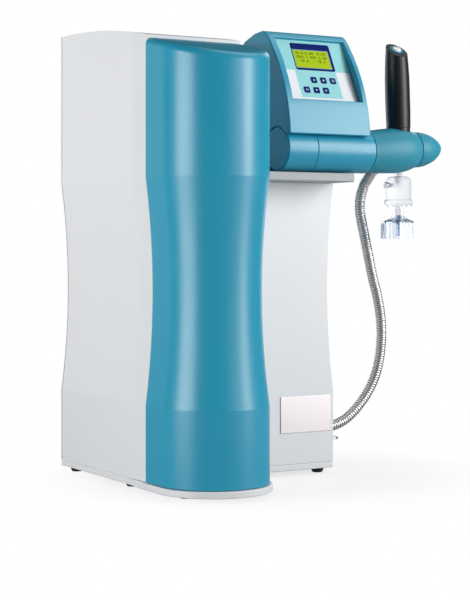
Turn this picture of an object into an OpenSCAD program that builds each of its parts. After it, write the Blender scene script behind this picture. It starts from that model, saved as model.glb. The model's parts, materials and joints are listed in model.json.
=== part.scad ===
// Ultrapure water system: a waisted tower with a lift-off front cover over its cartridge bay,
// a lower column with a control head, and a dispensing pod on a horizontal arm.
// X runs to the right, the front faces -Y and Z is up. Sizes are in millimetres.

/* [Tower and column] */
// Height of the tower's rear edge above the bench
tower_h = 610; // [560:5:680]
// Width of the tower
tower_w = 144; // [130:2:180]
// Width of the tower and column together
body_w = 318; // [300:2:360]
// Depth of the tower and column behind the front face of the column
body_d = 212; // [180:2:260]
// How far the bay stands out in front of the column
bay_d = 165; // [150:1:190]
// Height of the column's top edge
column_h = 403; // [380:1:430]
// Thickness of the moulded walls
wall = 3; // [2:0.5:5]
// How far the waist draws in at its middle
waist_in = 10; // [4:1:16]
// Height where the waist starts
waist_low = 114; // [90:1:160]
// Radius of the curve that the tower's roof follows
roof_r = 1366; // [900:1:2400]
// How far the front cover's top lies below the roof
cover_drop = 4; // [3:0.5:6]
// Radius of the front cover's top edge
shoulder_r = 9; // [5:0.5:14]

/* [Base] */
// Height of the rubber feet
foot_h = 7; // [5:1:14]
// Radius of a foot where it meets the base
foot_r = 9; // [6:0.5:12]
// Thickness of the base plate
base_t = 9; // [6:1:14]
// How far the base plate stands out past the front cover
base_lip = 4; // [2:1:8]

/* [Control head] */
// Width of the control head
head_w = 130; // [125:1:140]
// Height of the head's ridge above the bench
head_top = 608; // [595:1:625]
// How far the head stands out past the column's side
head_over = 12; // [6:1:16]
// Thickness of the shelf under the head
shelf_t = 12; // [8:1:16]
// How far the shelf stands out in front of the column
shelf_out = 56; // [50:1:64]
// Width of the keypad panel
panel_w = 111; // [100:1:114]
// Length of the keypad panel up its slope
panel_l = 98; // [90:1:104]
// Side of a square key
key_s = 9.5; // [7:0.5:11]
// Radius of a key's corners
key_corner = 2; // [0.5:0.25:3]

/* [Arm and dispenser] */
// Radius of the horizontal arm
arm_r = 30; // [26:1:32]
// Length of the arm
arm_l = 144; // [136:1:150]
// Length of the arm's fixed collar
collar_l = 48; // [36:1:60]
// Distance of the arm's axis in front of the column
arm_out = 40; // [36:1:46]
// Length of the pod and its knob together
pod_l = 130; // [120:1:150]
// Largest radius of the pod
pod_r = 31.5; // [27:0.5:33]
// Radius of the hand grip
grip_r = 17.3; // [14:0.1:19]
// Height of the thumb button above the pod
grip_l = 110; // [90:1:126]
// Slant of the grip's top towards the front
grip_slant = 35; // [20:1:40]
// Radius of the thumb button
button_r = 6.5; // [5:0.1:7.5]
// Travel of the thumb button
button_travel = 3; // [2:0.5:4]

/* [Final filter] */
// Radius of the filter capsule
filter_r = 17.7; // [14:0.1:20]
// Height of the filter capsule
filter_h = 40; // [34:1:46]
// Radius of the splash bell
bell_r = 25.5; // [20:0.5:28]
// Height of the splash bell's skirt
bell_h = 24; // [18:1:30]
// Thickness of the splash bell's wall
bell_wall = 1.6; // [1.2:0.1:2.5]

/* [Cartridge] */
// Radius of the purification cartridge
cartridge_r = 44; // [36:1:48]
// Height of the cartridge between its caps
cartridge_h = 380; // [320:5:400]

/* [Hose and ports] */
// Outer radius of the metal hose
hose_r = 7.5; // [6:0.5:8.5]
// Radius of the hose's bore
hose_bore = 5; // [3:0.5:5.5]
// Bore radius of the water ports
port_r = 4.2; // [3:0.1:5]
// Distance between the water ports
port_pitch = 36; // [30:1:40]

/* [Hidden] */
$fn = 64;

white = [0.92, 0.93, 0.94];
grey = [0.80, 0.81, 0.82];
teal = [0.16, 0.55, 0.66];
black = [0.07, 0.07, 0.08];
steel = [0.70, 0.71, 0.72];
clear = [0.88, 0.93, 0.96];

// Gap between pieces that meet, and between pieces that move past each other
gap = 0.3;
slip = 0.4;
// How far a cut runs past the faces it opens
over = 1;

// Levels and places in the tower's own frame: x from its left side, y from the column's front
floor_z = foot_h + base_t;
bay_r = tower_w / 2;
bay_x = tower_w / 2;
bay_y = -(bay_d - bay_r);
waist_high = column_h;
fitting_out = 12;

// The sides turn in from a crease to slip under the front cover, and end behind its back edge
crease_y = -8;
cover_back = -46;
flange_end = -60;
flange_turn = atan((wall + slip) / (crease_y - cover_back));
roof_t = wall + 1;
rim_depth = cover_drop + shoulder_r;

// The outermost points without the hose set the part's origin
front_y = -(bay_d + base_lip);
rear_y = body_d + fitting_out;
y_off = -(front_y + rear_y) / 2;

// Places of the head, arm and dispenser
head_x = body_w + head_over - head_w;
shelf_z = column_h;
shelf_top = shelf_z + shelf_t;
arm_lift = 1;
arm_x = head_x;
arm_z = shelf_top + arm_lift + arm_r;
pod_x = arm_x + arm_l + gap;
pod_tilt = 3.5;
knob_at = pod_l - 48;
grip_x = pod_x + 57;
grip_z = arm_z + pod_r + 2.5;
grip_lean = 2;
filter_top = arm_z - pod_r + 1.5;
pod_tip = pod_x + pod_l * cos(pod_tilt);
x_off = -(pod_tip - base_lip) / 2;

// The waist's depth at a height, and heights up the sides
function waist(z) =
    let (mid = (waist_low + waist_high) / 2, half = (waist_high - waist_low) / 2)
    z <= waist_low || z >= waist_high ? 0 : waist_in * (1 - pow((z - mid) / half, 2));
waist_steps = 12;
function levels(low) = concat(
    [low],
    [for (i = [0 : waist_steps]) waist_low + (waist_high - waist_low) * i / waist_steps]
);
function flip(list) = [for (i = [len(list) - 1 : -1 : 0]) list[i]];

// Height of the roof at a distance y behind the column's front
function roof(y) = tower_h - pow(body_d - y, 2) / (2 * roof_r);

module place() translate([x_off, y_off, 0]) children();

// A wall profile of x and z, run forwards from y_back to y_front
module along_y(y_back, y_front)
    translate([0, y_back, 0]) rotate([90, 0, 0]) linear_extrude(y_back - y_front) children();

// A profile of y and z, run to the right from x0 for a length
module along_x(x0, length)
    translate([x0, 0, 0]) rotate([90, 0, 90]) linear_extrude(length) children();

module rod_x(x0, length, r) translate([x0, 0, 0]) rotate([0, 90, 0]) cylinder(h = length, r = r);

// Side view of the room under the roof curve, lowered by a drop, from the floor up
roof_steps = 14;
module roof_side(y_back, y_front, drop)
    polygon(concat(
        [[y_back, 0]],
        [for (i = [0 : roof_steps])
            let (y = y_back + (y_front - y_back) * i / roof_steps) [y, roof(y) - drop]],
        [[y_front, 0]]
    ));

// Front view of the tower, its sides drawn in at the waist and inset, up to its right side
module tower_profile(inset, low, top, right = 0) {
    zs = concat(levels(low), [top]);
    polygon(concat(
        [for (z = zs) [inset + waist(z), z]],
        [for (z = flip(zs)) [tower_w + right - (right == 0 ? inset + waist(z) : 0), z]]
    ));
}

// Room between the tower's sides, which run straight to the crease and then turn in
module turned_room(inset, low)
    translate([0, crease_y, 0]) rotate([0, 0, flange_turn])
        along_y(2 * body_d, -body_d) tower_profile(inset, low, tower_h + 2 * over, tower_w);
module tower_room(inset, margin) {
    low = floor_z - margin;
    intersection() {
        along_y(body_d - wall + margin, flange_end - margin)
            tower_profile(inset, low, tower_h + over);
        turned_room(inset, low);
        translate([tower_w, 0, 0]) mirror([1, 0, 0]) turned_room(inset, low);
    }
}

module base_plate() place() color(white) {
    tongue_r = bay_r + base_lip;
    translate([0, 0, foot_h])
        linear_extrude(base_t - gap)
            union() {
                translate([bay_x, bay_y]) circle(tongue_r);
                polygon([
                    [0, body_d], [0, 0], [-base_lip, cover_back], [-base_lip, bay_y],
                    [tower_w + base_lip, bay_y], [tower_w + base_lip, 0],
                    [body_w, 0], [body_w, body_d]
                ]);
            }
}

module foot() {
    rotate_extrude()
        polygon([
            [0, 0], [foot_r - 2.5, 0], [foot_r - 1.5, 1], [foot_r, foot_h - 2],
            [foot_r, foot_h], [0, foot_h]
        ]);
}

module feet() place() color(black) {
    spots = [
        [16, body_d - 18], [20, 30], [bay_x + 40, bay_y], [bay_x - 40, bay_y],
        [body_w - 16, 16], [body_w - 16, body_d - 18]
    ];
    for (p = spots) translate([p[0], p[1], 0]) foot();
}

module tower_housing() place() color(white) {
    roof_front = cover_back + gap;
    difference() {
        intersection() {
            tower_room(0, 0);
            along_x(-over, tower_w + 2 * over) {
                roof_side(body_d + over, roof_front, 0);
                roof_side(roof_front + over, flange_end - over, rim_depth + slip);
            }
        }
        // The room inside, lower at its front so that the roof has a rib down its front edge
        intersection() {
            tower_room(wall, over);
            along_x(-over, tower_w + 2 * over) {
                roof_side(body_d + 2 * over, roof_front + wall, roof_t);
                roof_side(roof_front + wall + over, flange_end - 2 * over, rim_depth);
            }
        }
    }
}

module column_profile(inset) {
    polygon(concat(
        [[tower_w + gap, floor_z], [tower_w + gap, column_h]],
        [for (z = flip(levels(floor_z))) [body_w - inset - waist(z), z]]
    ));
}

module column_housing() place() color(white)
    difference() {
        along_y(body_d - wall, 0) column_profile(0);
        along_y(body_d, wall)
            intersection() {
                column_profile(wall);
                translate([tower_w + wall, floor_z - over])
                    square([body_w, column_h - floor_z - wall + over]);
            }
        // Holes for the hose's bulkhead fitting and the drain
        translate([0, hose_end[1], hose_end[2]]) rod_x(body_w - 3 * wall, 4 * wall, gland_r + gap);
        for (s = [-1, 1])
            translate([0, drain_y + s * drain_r, drain_z])
                rod_x(body_w - 3 * wall, 4 * wall, drain_tube + gap);
    }

// Places on the rear panel
inlet_w = 28;
inlet_h = 48;
inlet_x = (tower_w - inlet_w) / 2 + 2;
inlet_z = 70;
port_z = 70;
port_body_r = port_r + 3.8;
port_xs = [for (i = [0 : 2]) tower_w + 32 + port_pitch * i];
slot_h = 4;
slot_count = 8;
slot_low = 200;
panel_top = roof(body_d) - gap;

module rear_panel() place() color(grey)
    difference() {
        along_y(body_d, body_d - wall + gap)
            polygon(concat(
                [for (z = levels(floor_z)) [waist(z), z]],
                [[0, panel_top], [tower_w, panel_top], [tower_w, column_h]],
                [for (z = flip(levels(floor_z))) [body_w - waist(z), z]]
            ));
        translate([inlet_x, body_d - 2 * wall, inlet_z]) cube([inlet_w, 4 * wall, inlet_h]);
        for (x = port_xs)
            translate([x, body_d + over, port_z])
                rotate([90, 0, 0]) cylinder(h = 4 * wall, r = port_body_r + gap);
        // Cooling slots
        for (i = [0 : slot_count - 1])
            translate([tower_w / 4, body_d - 2 * wall, slot_low + 3 * slot_h * i])
                cube([tower_w / 2, 4 * wall, slot_h]);
    }

screw_r = 4;
screw_in = 12;
module panel_screws() place() color(steel)
    for (x = [screw_in, tower_w, body_w - screw_in], z = [floor_z + 18, column_h - 14])
        translate([x, body_d, z]) rotate([-90, 0, 0]) cylinder(h = 2, r = screw_r);

// Inner panel of the cartridge bay
panel_front = crease_y + wall + gap;
panel_back = panel_front + wall;
module bay_panel() place() color(grey)
    along_y(panel_back, panel_front)
        tower_profile(wall + gap, floor_z + gap, roof(panel_front) - roof_t - 2 * gap);

// Front cover: a shell swept up its plan, waisted, with a rounded top edge and a top that
// follows the roof. A plan point holds a place on the centre line and a direction out of it.
nose_steps = 40;
cover_low = floor_z + gap;
cover_plan = concat(
    [[bay_x, cover_back, -1, 0]],
    [for (i = [0 : nose_steps])
        let (a = 180 * i / nose_steps) [bay_x, bay_y, -cos(a), -sin(a)]],
    [[bay_x, cover_back, 1, 0]]
);
cover_n = len(cover_plan);
shoulder_turn = 15;
cap_radii = [bay_r - 24, bay_r - 40, bay_r - 54, bay_r - 65];
function under_cap(p, r, drop) =
    let (x = p[0] + r * p[2], y = p[1] + r * p[3]) [x, y, roof(y) - cover_drop - drop];
// Rows of points up one face of the shell, which lies a skin's depth inside the outer one
function cover_rows(skin) = concat(
    [for (z = levels(cover_low), p = cover_plan)
        let (r = bay_r - skin - waist(z)) [p[0] + r * p[2], p[1] + r * p[3], z]],
    [for (a = [0 : shoulder_turn : 90], p = cover_plan)
        let (bend = shoulder_r - skin)
        under_cap(p, bay_r - shoulder_r + bend * cos(a), shoulder_r - bend * sin(a))],
    [for (r = cap_radii, p = cover_plan) under_cap(p, r, skin)]
);
function quad(a, b, c, d) = [[a, b, c], [a, c, d]];
// Faces of one side of the shell, closed along the middle of its top
function cover_faces(first, rows) = concat(
    [for (j = [0 : rows - 2], k = [0 : cover_n - 2])
        let (a = first + j * cover_n + k)
        each quad(a, a + cover_n, a + cover_n + 1, a + 1)],
    let (top = first + (rows - 1) * cover_n, half = (cover_n - 1) / 2)
    concat(
        [for (k = [0 : half - 2])
            each quad(top + k + 1, top + k, top + cover_n - 1 - k, top + cover_n - 2 - k)],
        [[top + half, top + half - 1, top + half + 1]]
    )
);

module front_cover() place() color(teal) {
    outside = cover_rows(0);
    inside = cover_rows(wall);
    inner = len(outside);
    rows = inner / cover_n;
    top = (rows - 1) * cover_n;
    last = cover_n - 1;
    polyhedron(
        points = concat(outside, inside),
        faces = concat(
            cover_faces(0, rows),
            [for (f = cover_faces(inner, rows)) flip(f)],
            [for (k = [0 : last - 1]) each quad(k, k + 1, inner + k + 1, inner + k)],
            [for (j = [0 : rows - 2])
                let (a = j * cover_n, b = a + cover_n)
                each concat(quad(b, a, inner + a, inner + b),
                    quad(a + last, b + last, inner + b + last, inner + a + last))],
            quad(top + last, top, inner + top, inner + top + last)
        )
    );
}

// Cartridge in its bay
cartridge_y = bay_y + 15;
cartridge_z = floor_z + 54;
cap_h = 24;
cap_body = 14;
neck_h = 8;
neck_in = 4;

module cartridge_body() place() color([0.90, 0.91, 0.88])
    translate([bay_x, cartridge_y, cartridge_z]) {
        cylinder(h = cartridge_h, r = cartridge_r);
        translate([0, 0, -neck_h]) cylinder(h = cartridge_h + 2 * neck_h, r = cartridge_r - neck_in);
    }

module cartridge_caps() place() color(black)
    for (s = [0 : 1])
        translate([
            bay_x, cartridge_y,
            cartridge_z - neck_h - gap + s * (cartridge_h + 2 * neck_h + 2 * gap)
        ])
            mirror([0, 0, 1 - s]) {
                cylinder(h = cap_body, r = cartridge_r - neck_in / 2);
                cylinder(h = cap_h, r = 12);
            }

// Clips that hold the cartridge to the inner panel, open to the front
cradle_h = 20;
cradle_w = 44;
cradle_t = 4;
module cradle()
    difference() {
        union() {
            translate([bay_x, cartridge_y, 0]) cylinder(h = cradle_h, r = cartridge_r + cradle_t);
            translate([bay_x - cradle_w / 2, cartridge_y, 0])
                cube([cradle_w, panel_front - gap - cartridge_y, cradle_h]);
        }
        translate([bay_x, cartridge_y, -over])
            cylinder(h = cradle_h + 2 * over, r = cartridge_r + gap);
        translate([0, cartridge_y - 8 - tower_w, -over])
            cube([tower_w, tower_w, cradle_h + 2 * over]);
    }

module cartridge_cradles() place() color(grey)
    for (z = [cartridge_z + 60, cartridge_z + cartridge_h - 90]) translate([0, 0, z]) cradle();

// Ultraviolet chamber on the back of the inner panel
uv_y = 50;
uv_z = 120;
uv_h = 320;
uv_r = 22;
uv_cap_h = 12;
clamp_h = 14;
module uv_chamber() place() color(steel)
    translate([bay_x, uv_y, uv_z]) {
        cylinder(h = uv_h, r = uv_r);
        translate([0, 0, -uv_cap_h]) cylinder(h = uv_h + 2 * uv_cap_h, r = uv_r - 6);
        for (z = [40, uv_h - 40])
            translate([0, 0, z]) rotate([-90, 0, 0]) cylinder(h = uv_r + 16, r = 5);
    }

module uv_clamps() place() color(black)
    for (z = [uv_z + 60, uv_z + uv_h - 80])
        translate([bay_x, uv_y, z])
            difference() {
                union() {
                    cylinder(h = clamp_h, r = uv_r + 5);
                    translate([-14, panel_back + gap - uv_y, 0])
                        cube([28, uv_y - panel_back - gap, clamp_h]);
                }
                translate([0, 0, -over]) cylinder(h = clamp_h + 2 * over, r = uv_r + gap);
            }

// Pump on the base, its motor lying along Y
pump_r = 32;
pump_h = 46;
module booster_pump() place() color(black)
    translate([tower_w + 51, 90, floor_z]) {
        translate([-pump_r, -pump_r, 0]) cube([2 * pump_r, 90, 6]);
        translate([-20, -14, 0]) cube([40, 50, 16]);
        translate([0, 50, pump_h]) rotate([90, 0, 0]) {
            cylinder(h = 72, r = pump_r);
            cylinder(h = 94, r = pump_r - 5);
        }
    }

// Power supply on a leg that stands on the base
supply_z = 150;
module power_supply() place() color(steel)
    translate([body_w - 88, 30, floor_z]) {
        translate([0, 0, supply_z]) cube([60, 110, 160]);
        cube([6, 110, supply_z]);
    }

module head_shelf() place() color(grey) {
    corner = 4;
    left = tower_w + gap;
    right = body_w - 1;
    translate([0, 0, shelf_z + gap])
        linear_extrude(shelf_t - gap)
            union() {
                translate([left, -shelf_out]) square([right - left - corner, body_d + shelf_out]);
                translate([left, -shelf_out + corner])
                    square([right - left, body_d + shelf_out - corner]);
                translate([right - corner, -shelf_out + corner]) circle(corner);
            }
}

// Side view of the head as y and z: its front bows up to the ridge, its top falls to the back
head_drop = 143;
head_side = [
    [-74, head_top - head_drop], [-72.5, head_top - 128], [-68, head_top - 104],
    [-62, head_top - 84], [-54, head_top - 65], [-44, head_top - 46], [-33, head_top - 29],
    [-22, head_top - 14], [-15, head_top - 6], [-9, head_top - 1.5], [-2, head_top],
    [18, head_top - 2], [44, head_top - 10], [58, head_top - 20], [64, head_top - 40],
    [66, shelf_top + gap], [-12, shelf_top + gap], [-12, head_top - head_drop]
];
// The hollow inside it, closed at the bottom by the arm's saddle
head_hollow = [
    [-6, shelf_top + 5], [60, shelf_top + 5], [60, head_top - 44], [54, head_top - 26],
    [20, head_top - 8], [4, head_top - 10], [-48, head_top - 118],
    [-52, head_top - head_drop + 16], [-6, head_top - head_drop + 16]
];

// The keypad panel's plane, in a frame with x across, y up the slope and z out of it
panel_tilt = 26.6;
panel_low_y = -58;
panel_low_z = head_top - 99;
panel_x = head_x + (head_w - panel_w) / 2 + 1;
panel_t = 1.5;
board_depth = 22;
module on_panel()
    translate([panel_x, panel_low_y, panel_low_z]) rotate([90 - panel_tilt, 0, 0]) children();

module control_head() place() color(teal)
    difference() {
        along_x(head_x, head_w) polygon(head_side);
        // Recess down to the keypad panel
        on_panel() translate([-gap, -gap, -panel_t]) cube([panel_w + 2 * gap, panel_l + 2 * gap, 40]);
        // Way through for the board behind the panel
        on_panel() translate([wall, wall, -board_depth])
            cube([panel_w - 2 * wall, panel_l - 2 * wall, board_depth]);
        along_x(head_x + wall, head_w - 2 * wall) polygon(head_hollow);
        // Saddle round the arm
        translate([0, -arm_out, arm_z]) rod_x(head_x - over, head_w + 2 * over, arm_r + gap);
    }

// Window of the display in the keypad panel
window_x = 26.5;
window_y = 55;
window_w = 56.5;
window_h = 27.5;
module keypad_panel() place() color([0.62, 0.86, 0.89])
    on_panel() difference() {
        translate([0, 0, -panel_t + gap]) cube([panel_w, panel_l, panel_t - gap]);
        translate([window_x - gap, window_y - gap, -panel_t])
            cube([window_w + 2 * gap, window_h + 2 * gap, 2 * panel_t]);
    }

module display_window() place() color([0.70, 0.85, 0.10])
    on_panel() translate([window_x, window_y, -panel_t + gap]) cube([window_w, window_h, panel_t - gap]);

// Two staggered rows of three keys with round corners
key_pitch = 15.4;
key_rows = [[47.6, 35.3], [32, 19.2]];
key_t = 0.6;
module key()
    linear_extrude(key_t) {
        for (a = [0, 90])
            rotate(a) square([key_s, key_s - 2 * key_corner], center = true);
        for (x = [-1, 1], y = [-1, 1])
            translate([x * (key_s / 2 - key_corner), y * (key_s / 2 - key_corner)])
                circle(key_corner);
    }
module keypad_keys() place() color([0.12, 0.17, 0.50])
    on_panel() for (row = key_rows, i = [0 : 2]) translate([row[0] + i * key_pitch, row[1], 0]) key();

// Board behind the keypad panel, on four pillars
board_t = 1.6;
board_z = -6.5;
board_in = 6;
module control_board() place() color([0.10, 0.35, 0.20])
    on_panel() {
        translate([board_in, board_in, board_z])
            cube([panel_w - 2 * board_in, panel_l - 2 * board_in, board_t]);
        for (x = [10, panel_w - 10], y = [10, panel_l - 10])
            translate([x, y, board_z + board_t]) cylinder(h = -board_z - board_t - panel_t, r = 3);
    }

// Fixed collar of the arm, closed at its left end, and the tube that carries the pod
arm_edge = 2;
module arm_collar() place() color(teal)
    translate([0, -arm_out, arm_z])
        difference() {
            union() {
                rod_x(arm_x + arm_edge, collar_l - arm_edge, arm_r);
                rod_x(arm_x, collar_l, arm_r - arm_edge);
            }
            rod_x(arm_x + wall, collar_l, arm_r - 2 * wall);
        }

module arm_tube() place() color(teal)
    translate([0, -arm_out, arm_z])
        difference() {
            union() {
                rod_x(arm_x + collar_l + gap, arm_l - collar_l - gap - arm_edge, arm_r);
                rod_x(arm_x + arm_l - 2 * arm_edge, 2 * arm_edge, arm_r - arm_edge);
            }
            rod_x(arm_x + collar_l, arm_l - collar_l - 8, arm_r - wall);
            rod_x(arm_x + arm_l - 10, 12, 12);
        }

// The pod's axis rises gently to the right
module on_pod()
    translate([pod_x, -arm_out, arm_z]) rotate([0, 90 - pod_tilt, 0]) children();

// Frame of the hand grip, which leans a little to the left
module on_grip()
    translate([grip_x, -arm_out, grip_z]) rotate([0, -grip_lean, 0]) children();

// Frame on the grip's slanted top, with z out of it
module on_thumb()
    on_grip() translate([0, 0, grip_l]) rotate([grip_slant, 0, 0]) children();

// Frame at the hose's upper end, with z up into the pod along the hose's own line
module on_exit() {
    up = hose_points[0] - hose_points[1];
    translate(hose_points[0]) rotate([0, acos(up[2] / norm(up)), atan2(up[1], up[0])]) children();
}

spindle_r = 5;
bearing = 0.05;
grip_root = 12;
gland_r = 9;
gland_h = 17;
spigot_r = 5;
pod_start = 6;

module pod_body() place() color(teal)
    difference() {
        intersection() {
            on_pod() rotate_extrude()
                polygon([
                    [0, -pod_start], [pod_r - 3, -pod_start], [pod_r - 3, 4], [pod_r - 1.8, 14],
                    [pod_r - 0.8, 26], [pod_r - 0.2, 38], [pod_r, 50], [pod_r - 0.8, 60],
                    [pod_r - 2.6, 69], [pod_r - 5, 76], [pod_r - 6.6, knob_at - 0.8],
                    [pod_r - 7.4, knob_at], [0, knob_at]
                ]);
            translate([pod_x, -tower_w, 0]) cube([2 * pod_l, tower_w, tower_h]);
        }
        // Sockets for the grip, the outlet, the hose and the knob's spindle
        on_grip() translate([0, 0, -grip_root]) cylinder(h = 40, r = grip_r - 1 + gap);
        translate([grip_x, -arm_out, filter_top - 20]) cylinder(h = 30, r = spigot_r + gap);
        on_exit() translate([0, 0, -10]) cylinder(h = gland_h + 11, r = gland_r + gap);
        on_pod() translate([0, 0, knob_at - 20]) cylinder(h = 30, r = spindle_r + bearing);
    }

module knob_spindle() place() color(steel)
    on_pod() translate([0, 0, knob_at - 19]) cylinder(h = 31, r = spindle_r);

module flow_knob() place() color(teal)
    on_pod() difference() {
        rotate_extrude()
            polygon([
                [0, knob_at + slip], [pod_r - 7.6, knob_at + slip],
                [pod_r - 6.8, knob_at + 1.2], [pod_r - 6.8, knob_at + 8],
                [pod_r - 8, knob_at + 16], [pod_r - 10.4, knob_at + 24],
                [pod_r - 14, knob_at + 32], [pod_r - 18.6, knob_at + 39],
                [pod_r - 24, knob_at + 44.5], [pod_r - 28.5, pod_l - 0.6], [0, pod_l]
            ]);
        translate([0, 0, knob_at - over]) cylinder(h = 13 + gap, r = spindle_r + bearing);
    }

// The ring round the thumb button sits in the grip with a close fit
ring_r = button_r + 2.9;
ring_seat = button_r + 1.5;
ring_depth = 12;
ring_fit = 0.1;
module hand_grip() place() color(black)
    difference() {
        on_grip() rotate_extrude()
            polygon([
                [0, gap - grip_root], [grip_r - 1, gap - grip_root], [grip_r - 1, 0],
                [grip_r - 0.4, 2], [grip_r, 20], [grip_r + 0.1, 45], [grip_r - 0.1, 70],
                [grip_r - 0.8, 88], [grip_r - 1.6, 100], [grip_r - 2.4, 110],
                [grip_r - 3.2, grip_l + 16], [0, grip_l + 16]
            ]);
        on_thumb() translate([0, 0, 2 * grip_r]) cube(4 * grip_r, center = true);
        on_thumb() translate([0, 0, -ring_depth]) cylinder(h = 2 * ring_depth, r = ring_seat + ring_fit);
    }

module thumb_ring() place() color(teal)
    on_thumb() difference() {
        union() {
            translate([0, 0, ring_fit - ring_depth]) cylinder(h = ring_depth, r = ring_seat);
            translate([0, 0, ring_fit]) cylinder(h = 1, r = ring_r);
        }
        translate([0, 0, -6 - button_travel]) cylinder(h = 20, r = button_r + 0.08);
    }

module thumb_button() place() color(clear)
    on_thumb() translate([0, 0, -5.7]) rotate_extrude()
        polygon([
            [0, 0], [button_r, 0], [button_r, 8], [button_r - 1, 8.9], [button_r / 2, 9.4],
            [0, 9.6]
        ]);

neck_r = 3.8;
plug_fit = 0.08;
module outlet_spigot() place() color(clear)
    translate([grip_x, -arm_out, 0]) difference() {
        union() {
            translate([0, 0, filter_top - 12]) cylinder(h = 22, r = neck_r);
            translate([0, 0, filter_top - 2]) cylinder(h = 12, r = spigot_r);
        }
        translate([0, 0, filter_top - 13]) cylinder(h = 24, r = 2);
    }

// Pleated final filter in a milky capsule, with lugs round its lower rim
filter_low = filter_top - 3 - filter_h;
outlet_l = 17;
outlet_r = 7.5;
outlet_bore = 5;
rim_r = filter_r + 2.4;
lug_count = 6;
vent_x = -11;
vent_r = 3;
vent_z = filter_h - 12;
module filter_capsule() place() color([0.94, 0.95, 0.95])
    translate([grip_x, -arm_out, filter_low]) difference() {
        union() {
            rotate_extrude()
                polygon([
                    [0, -outlet_l], [outlet_r, -outlet_l], [outlet_r, 0], [filter_r + 1, 0],
                    [rim_r, 1.5], [rim_r, 6], [filter_r, 8], [filter_r, filter_h - 6],
                    [filter_r - 2, filter_h - 2], [filter_r - 6, filter_h], [0, filter_h]
                ]);
            for (i = [0 : lug_count - 1])
                rotate([0, 0, 360 / lug_count * (i + 0.5)])
                    translate([filter_r - 1.5, 0, -2.5]) cylinder(h = 8, r = 2.6);
        }
        translate([0, 0, filter_h - 14]) cylinder(h = 20, r = neck_r + plug_fit);
        translate([0, 0, -outlet_l - over]) cylinder(h = outlet_l + over, r = outlet_bore);
        translate([vent_x, 0, vent_z]) rotate([0, -90, 0]) cylinder(h = 30, r = vent_r);
    }

module filter_vent() place() color([0.94, 0.95, 0.95])
    translate([grip_x + vent_x, -arm_out, filter_low + vent_z]) rotate([0, -90, 0]) {
        cylinder(h = filter_r + vent_x + gap + 2, r = vent_r - 0.05);
        translate([0, 0, filter_r + vent_x + gap]) cylinder(h = 5, r = vent_r + 1.5);
    }

// Clear bell round the outlet, with eight flat sides
bell_z = filter_low - outlet_l;
bell_sides = 8;
bell_flat = bell_r * cos(180 / bell_sides);
module splash_bell() place() color(clear)
    translate([grip_x, -arm_out, bell_z]) difference() {
        union() {
            translate([0, 0, -6 - bell_h]) rotate([0, 0, 180 / bell_sides])
                cylinder(h = bell_h, r = bell_r, $fn = bell_sides);
            translate([0, 0, -6.5]) cylinder(h = 5.5, r1 = bell_flat - 1, r2 = 10);
            translate([0, 0, -3]) cylinder(h = 5, r = 10);
        }
        translate([0, 0, -7 - bell_h]) cylinder(h = bell_h - 1, r = bell_flat - bell_wall);
        translate([0, 0, -8 - over]) cylinder(h = 12, r = outlet_r + plug_fit);
    }

// Route of the metal hose: down out of the back of the pod, out to the right, in to the column.
// X is counted from the column's right side.
hose_end = [body_w + 10, 66, 54];
hose_way = [
    [56, -16, 421], [49, -6, 403], [47, 0, 387], [48, 4, 372], [52, 7, 356], [63, 12, 325],
    [80, 20, 277], [94, 26, 243], [103, 31, 215], [109, 37, 186], [111, 44, 155],
    [107, 50, 126], [97, 56, 101], [82, 61, 80], [65, 64, 65], [47, 66, 57], [28, 66, 54]
];
hose_points = concat([for (p = hose_way) [body_w + p[0], p[1], p[2]]], [hose_end]);

function catmull(p0, p1, p2, p3, t) =
    0.5 * (2 * p1 + (p2 - p0) * t + (2 * p0 - 5 * p1 + 4 * p2 - p3) * t * t
        + (3 * p1 - p0 - 3 * p2 + p3) * t * t * t);
// A smooth route through points, with a ring about every step
function route(points, step) =
    let (n = len(points) - 1)
    concat(
        [for (i = [0 : n - 1])
            let (
                a = points[max(i - 1, 0)], b = points[i], c = points[i + 1],
                d = points[min(i + 2, n)], count = round(norm(c - b) / step)
            )
            each [for (j = [0 : count - 1]) catmull(a, b, c, d, j / count)]],
        [points[n]]
    );

module hose_gland() place() color(steel)
    on_exit() difference() {
        cylinder(h = gland_h, r = gland_r);
        translate([0, 0, -over]) cylinder(h = gland_h + 2 * over, r = hose_bore);
    }

module hose_bulkhead() place() color(steel)
    translate([0, hose_end[1], hose_end[2]]) difference() {
        union() {
            rod_x(body_w - wall - 4, hose_end[0] - body_w + wall + 4, gland_r);
            translate([body_w + gap, 0, 0]) rotate([0, 90, 0]) cylinder(h = 5, r = 13, $fn = 6);
        }
        rod_x(body_w - 10, 40, hose_bore);
    }

// Straight ends of the route, and the middle that the curve follows
hose_step = 3;
rib_depth = 0.9;
hose_path = let (n = len(hose_points) - 1)
    concat(
        [hose_points[0]],
        route([for (i = [1 : n - 1]) hose_points[i]], hose_step),
        [hose_points[n]]
    );
function unit(v) = v / norm(v);
// Directions along the path, and a sideways frame that turns with it
function along(path, i) = unit(path[min(i + 1, len(path) - 1)] - path[max(i - 1, 0)]);
function frames(path, i, side) =
    i == len(path) ? [] :
    let (t = along(path, i), s = unit(side - (side * t) * t))
    concat([[s, cross(t, s)]], frames(path, i + 1, s));
hose_sides = 8;
function ring(centre, frame, r) =
    [for (k = [0 : hose_sides - 1])
        let (a = 360 * k / hose_sides) centre + r * (frame[0] * cos(a) + frame[1] * sin(a))];
function band(a, b) =
    [for (k = [0 : hose_sides - 1], h = [0, 1])
        let (n = (k + 1) % hose_sides) h == 0 ? [a + k, a + n, b + n] : [a + k, b + n, b + k]];

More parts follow.
